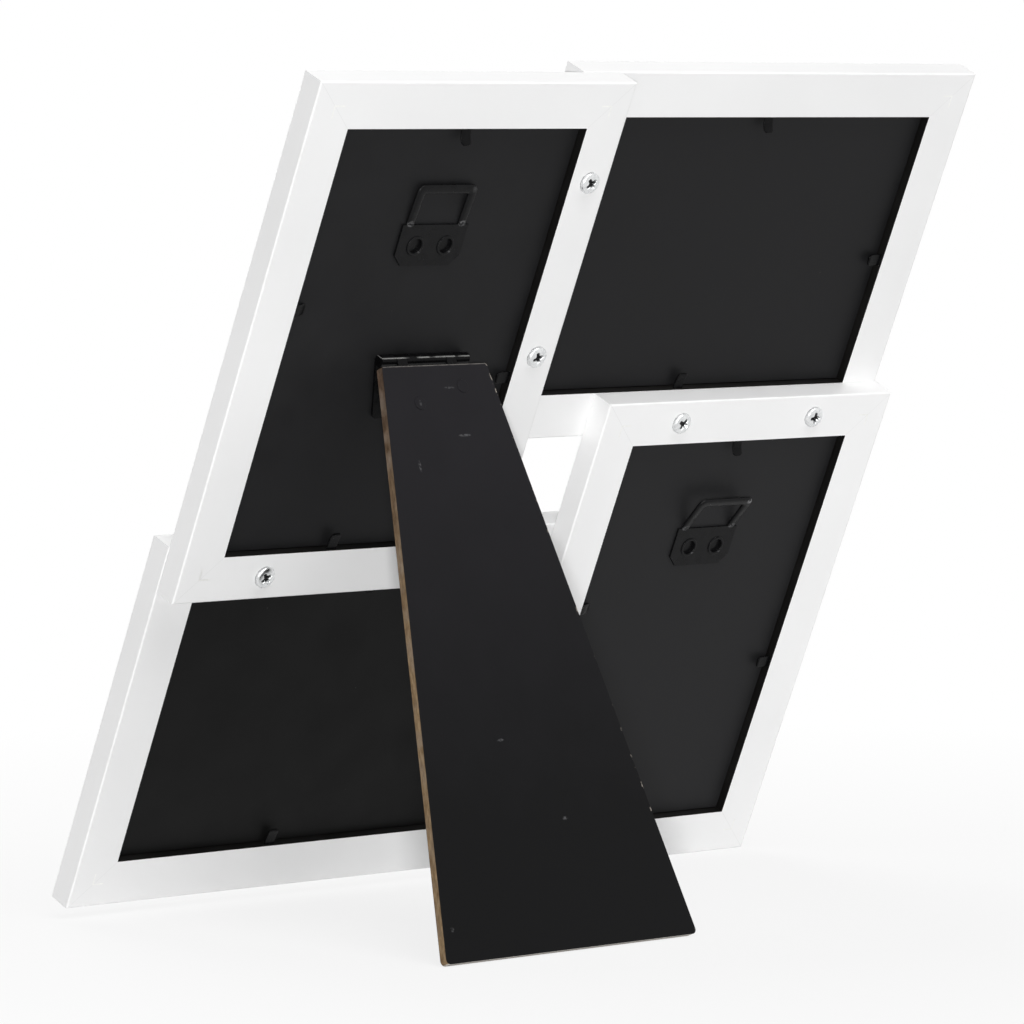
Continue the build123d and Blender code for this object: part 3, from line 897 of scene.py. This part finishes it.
def head_points():
    """Polar grid of height h(1 - (r/R)^4)^(1/4), less a cross and a smaller one turned by 45 degrees."""
    r = np.linspace(0, 1, RINGS + 1)[1:] ** RING_POWER * HEAD_R
    angle = np.linspace(0, 2 * np.pi, SECTORS, endpoint=False)
    r, angle = np.meshgrid(r, angle, indexing="ij")
    x, y = r * np.cos(angle), r * np.sin(angle)
    pan = HEAD_H * np.clip(1 - (r / HEAD_R) ** PAN_POWER, 0, 1) ** (1 / PAN_POWER)
    along_a, along_b = (x + y) / np.sqrt(2), (x - y) / np.sqrt(2)
    cut = np.maximum(cross(x, y), RAY * cross(along_a / RAY, along_b / RAY))
    z = pan - RECESS_D * cut * cut * (3 - 2 * cut)
    top = np.stack([x, y, z], -1).reshape(-1, 3)
    head = np.concatenate([[[0, 0, HEAD_H - RECESS_D]], top, [[0, 0, 0]]])
    return head, np.concatenate([[1.0], cut.ravel(), [0.0]])


head, dark = head_points()
print("points of a head", len(head), "lowest point of the recess", round(head[0, 2], 2), "mm")

# %% Heads on their seats
TURNS = np.radians([24, 38, 63, 15, 41, 57, 8, 70])


def head_faces():
    """Quads between the rings, a fan round the middle of the recess and one round the base's middle."""
    k = np.arange(SECTORS)
    after = (k + 1) % SECTORS
    ring = 1 + SECTORS * np.arange(RINGS - 1)[:, None]
    corners = [ring + k, ring + SECTORS + k, ring + SECTORS + after, ring + after]
    quads = np.stack(corners, -1).reshape(-1, 4)
    cap = np.stack([np.zeros(SECTORS, int), 1 + k, 1 + after], -1)
    rim = 1 + (RINGS - 1) * SECTORS
    base = np.stack([np.full(SECTORS, rim + SECTORS), rim + after, rim + k], -1)
    return quads, cap, base


def screw_heads(head, seats, turns):
    """The head at each seat, turned in its plane: (x cos - y sin, x sin + y cos) + seat."""
    cos, sin = np.cos(turns), np.sin(turns)
    spin = np.stack([np.stack([cos, -sin], -1), np.stack([sin, cos], -1)], -2)
    flat = np.einsum("sij,nj->sni", spin, head[:, :2]) + seats[:, None, :]
    rise = np.broadcast_to(head[:, 2:], (*flat.shape[:2], 1))
    points = np.concatenate([flat, rise], -1).reshape(-1, 3)
    shift = len(head) * np.arange(len(seats))[:, None, None]
    return standing(points), [(f + shift).reshape(-1, f.shape[1]) for f in head_faces()]


points, faces = screw_heads(head, seats, TURNS)
print("faces of all heads", sum(len(group) for group in faces))

# %% [markdown]
# ## Zinc plating
#
# Plated steel is bright, with a faint bloom. The recess is painted dark, as painted shade and oily
# dirt in one. How dark could be guessed from how hollow a place is, yet here the depth of the cut is
# known at every point. So it goes into the mesh as an attribute of its points, and the material reads
# it.

# %% Plated heads
IN_RECESS = (0.15, 0.8)
RECESS_SHADE_AND_DIRT = "#2B2B2C"
BLOOM = 1.2
ZINC_ROUGH = (0.2, 0.38)
# Plated steel gives the eye a silvery grey with soft reflections
zinc, tree, shader, place = new_material("zinc_plated_steel")
bloom = add(tree, "TexNoise", place, per_mm(BLOOM), 4.0)
plated = add(tree, "MapRange", bloom, *NOISE)
plated = add(tree, "Mix", plated, linear("#D6D8D9"), linear("#EEEFEF"), data_type="RGBA")
# The recess is painted dark by its depth: painted shade together with oily dirt
hidden = add(tree, "Attribute", out="Fac", attribute_name="recess")
hidden = add(tree, "MapRange", hidden, *IN_RECESS)
plated = add(tree, "Mix", hidden, plated, linear(RECESS_SHADE_AND_DIRT), data_type="RGBA")
rough = add(tree, "MapRange", bloom, *NOISE, *ZINC_ROUGH)
relief(tree, shader, plated, rough, bloom, strength=0.1, depth_mm=0.03)
shader.inputs["Metallic"].default_value = 1.0
screws = new_piece("lap_screw_heads", points, faces, zinc)
recess = screws.data.attributes.new("recess", "FLOAT", "POINT")
recess.data.foreach_set("value", np.tile(dark, len(seats)).astype(np.float32))
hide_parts("lap_screws")

# %% [markdown]
# ## Camera
#
# The photograph was taken from behind, from the collage's left, a little above it and from well back
# with a long lens, so parallel edges stay nearly parallel. A camera could be moved by eye until the
# view fits, but this one is placed by its direction from the point that it aims at, so that it can be
# measured. The lens follows from how many pixels one metre at one metre takes.

# %% Camera at the photograph's angle
FRAME_PX = 1024
FOCAL_PX = 5971.0
VIEW_AZIMUTH = np.radians(138.11)
VIEW_ELEVATION = np.radians(4.02)
VIEW_ROLL = np.radians(0.17)
AIM = Vector((0.01385, -0.01155, 0.13396))
DISTANCE = 2.027
FURTHEST_SEEN = 200.0
towards_camera = Vector((
    np.sin(VIEW_AZIMUTH) * np.cos(VIEW_ELEVATION),
    -np.cos(VIEW_AZIMUTH) * np.cos(VIEW_ELEVATION),
    np.sin(VIEW_ELEVATION),
))
lens = bpy.data.cameras.new("camera")
lens.sensor_width = 36.0
lens.lens = FOCAL_PX / FRAME_PX * lens.sensor_width
lens.clip_end = FURTHEST_SEEN
camera = bpy.data.objects.new("camera", lens)
camera.location = AIM + DISTANCE * towards_camera
level = (-towards_camera).to_track_quat("-Z", "Y")
camera.rotation_mode = "QUATERNION"
camera.rotation_quaternion = level @ Quaternion((0, 0, 1), VIEW_ROLL)
bpy.context.scene.collection.objects.link(camera)
bpy.context.scene.camera = camera
print("camera at", tuple(round(v, 3) for v in camera.location), "lens", round(lens.lens, 1), "mm")

# %% [markdown]
# ## White table and white studio
#
# The object stands on a white table in a white studio. More light would make any background white, but
# it would burn out the white rails too. So the rays that show the background, from the camera or by way
# of a mirror or glass, see plain white, and what lights the object stays at a plain level. Near the
# object the table mixes that white with its lit colour, so that it still carries a soft shadow.

# %% Table
TABLE_HALF = 40.0
SHADOW_SHARE = 0.16
# The shadow fades between these metres from the middle of the object
SHADOW_FADE = (0.15, 0.6)


def sees_background(tree):
    """1 for camera, mirror and see-through rays that no dull surface has spread, else 0."""
    shown = add(tree, "LightPath", out="Is Camera Ray")
    for ray in ("Is Glossy Ray", "Is Transmission Ray"):
        shown = add(tree, "Math", shown, add(tree, "LightPath", out=ray), operation="MAXIMUM")
    spread = add(tree, "LightPath", out="Diffuse Depth")
    direct = add(tree, "Math", spread, 0.5, operation="LESS_THAN")
    return add(tree, "Math", shown, direct, operation="MULTIPLY")


corners = TABLE_HALF * np.array([[-1, -1, 0], [1, -1, 0], [1, 1, 0], [-1, 1, 0]], float)
mesh = bpy.data.meshes.new("table")
mesh.from_pydata(corners.tolist(), [], [(0, 1, 2, 3)])
table = bpy.data.objects.new("table", mesh)
bpy.context.scene.collection.objects.link(table)
# A matt white top gives the eye no reflection, only the shadow
table_white, tree, shader, place = new_material("white_table")
shader.inputs["Base Color"].default_value = linear("#D8D8D8")
shader.inputs["Roughness"].default_value = 0.9
shader.inputs["Specular IOR Level"].default_value = 0.1
plain = add(tree, "Emission", (1, 1, 1, 1), 1.0)
fade = add(tree, "VectorMath", place, operation="LENGTH")
fade = add(tree, "MapRange", fade, *SHADOW_FADE, 1.0 - SHADOW_SHARE, 1.0)
share = add(tree, "Math", sees_background(tree), fade, operation="MULTIPLY")
mixed = add(tree, "MixShader", share, shader.outputs[0], plain)
tree.links.new(mixed, tree.nodes["Material Output"].inputs["Surface"])
mesh.materials.append(table_white)
print("table", 2 * TABLE_HALF, "m wide")

# %% World
WORLD_LIGHT = 0.12
world = bpy.data.worlds.new("white_studio")
world.use_nodes = True
bpy.context.scene.world = world
tree = world.node_tree
level = add(tree, "MapRange", sees_background(tree), 0.0, 1.0, WORLD_LIGHT, 1.0)
tree.links.new(level, tree.nodes["Background"].inputs["Strength"])
tree.nodes["Background"].inputs["Color"].default_value = (1, 1, 1, 1)
print("world lights the object with", WORLD_LIGHT)

# %% [markdown]
# ## Lamps
#
# Three soft lamps light the object. The key stands low beside the camera, so that shadows hide behind
# what casts them. One above brightens the tops and the table, which throws light up at the tilted back,
# and one in front lights the side that faces away. Point lamps would be simpler, but their shadows are
# hard. An area lamp has a size, which decides how soft a shadow is.

# %% Softboxes
LAMPS_AIM = Vector((0.0, 0.0, 0.14))
RIGHT_OF_CAMERA = Vector((-0.74, 0.67, 0.0))
KEY_AWAY = 5.0
KEY_ASIDE = 0.1
KEY_HEIGHT = 0.13
KEY_SIZE = (0.5, 0.24)
FILL_SIZE = (1.2, 1.2)


def softbox(name, place, size, watts):
    """A rectangular area lamp of a size and at a place in metres, turned towards the object."""
    data = bpy.data.lights.new(name, "AREA")
    data.shape = "RECTANGLE"
    data.size, data.size_y = size
    data.energy = watts
    lamp = bpy.data.objects.new(name, data)
    lamp.location = place
    lamp.rotation_mode = "QUATERNION"
    lamp.rotation_quaternion = (LAMPS_AIM - Vector(place)).to_track_quat("-Z", "Y")
    bpy.context.scene.collection.objects.link(lamp)
    print(name, watts, "W at", tuple(round(v, 2) for v in place))


key_place = KEY_AWAY * towards_camera + KEY_ASIDE * RIGHT_OF_CAMERA
softbox("key_softbox", (key_place.x, key_place.y, KEY_HEIGHT), KEY_SIZE, 172.0)
softbox("top_softbox", (0.3, 1.0, 1.9), FILL_SIZE, 30.0)
softbox("front_softbox", (-0.6, -1.9, 0.9), FILL_SIZE, 30.0)

# %% [markdown]
# ## Finish
#
# Blender's usual view transform would soften the whites, so it is set to Standard, in which a colour
# renders about as it is written.

# %% Finish
bpy.context.scene.view_settings.view_transform = "Standard"
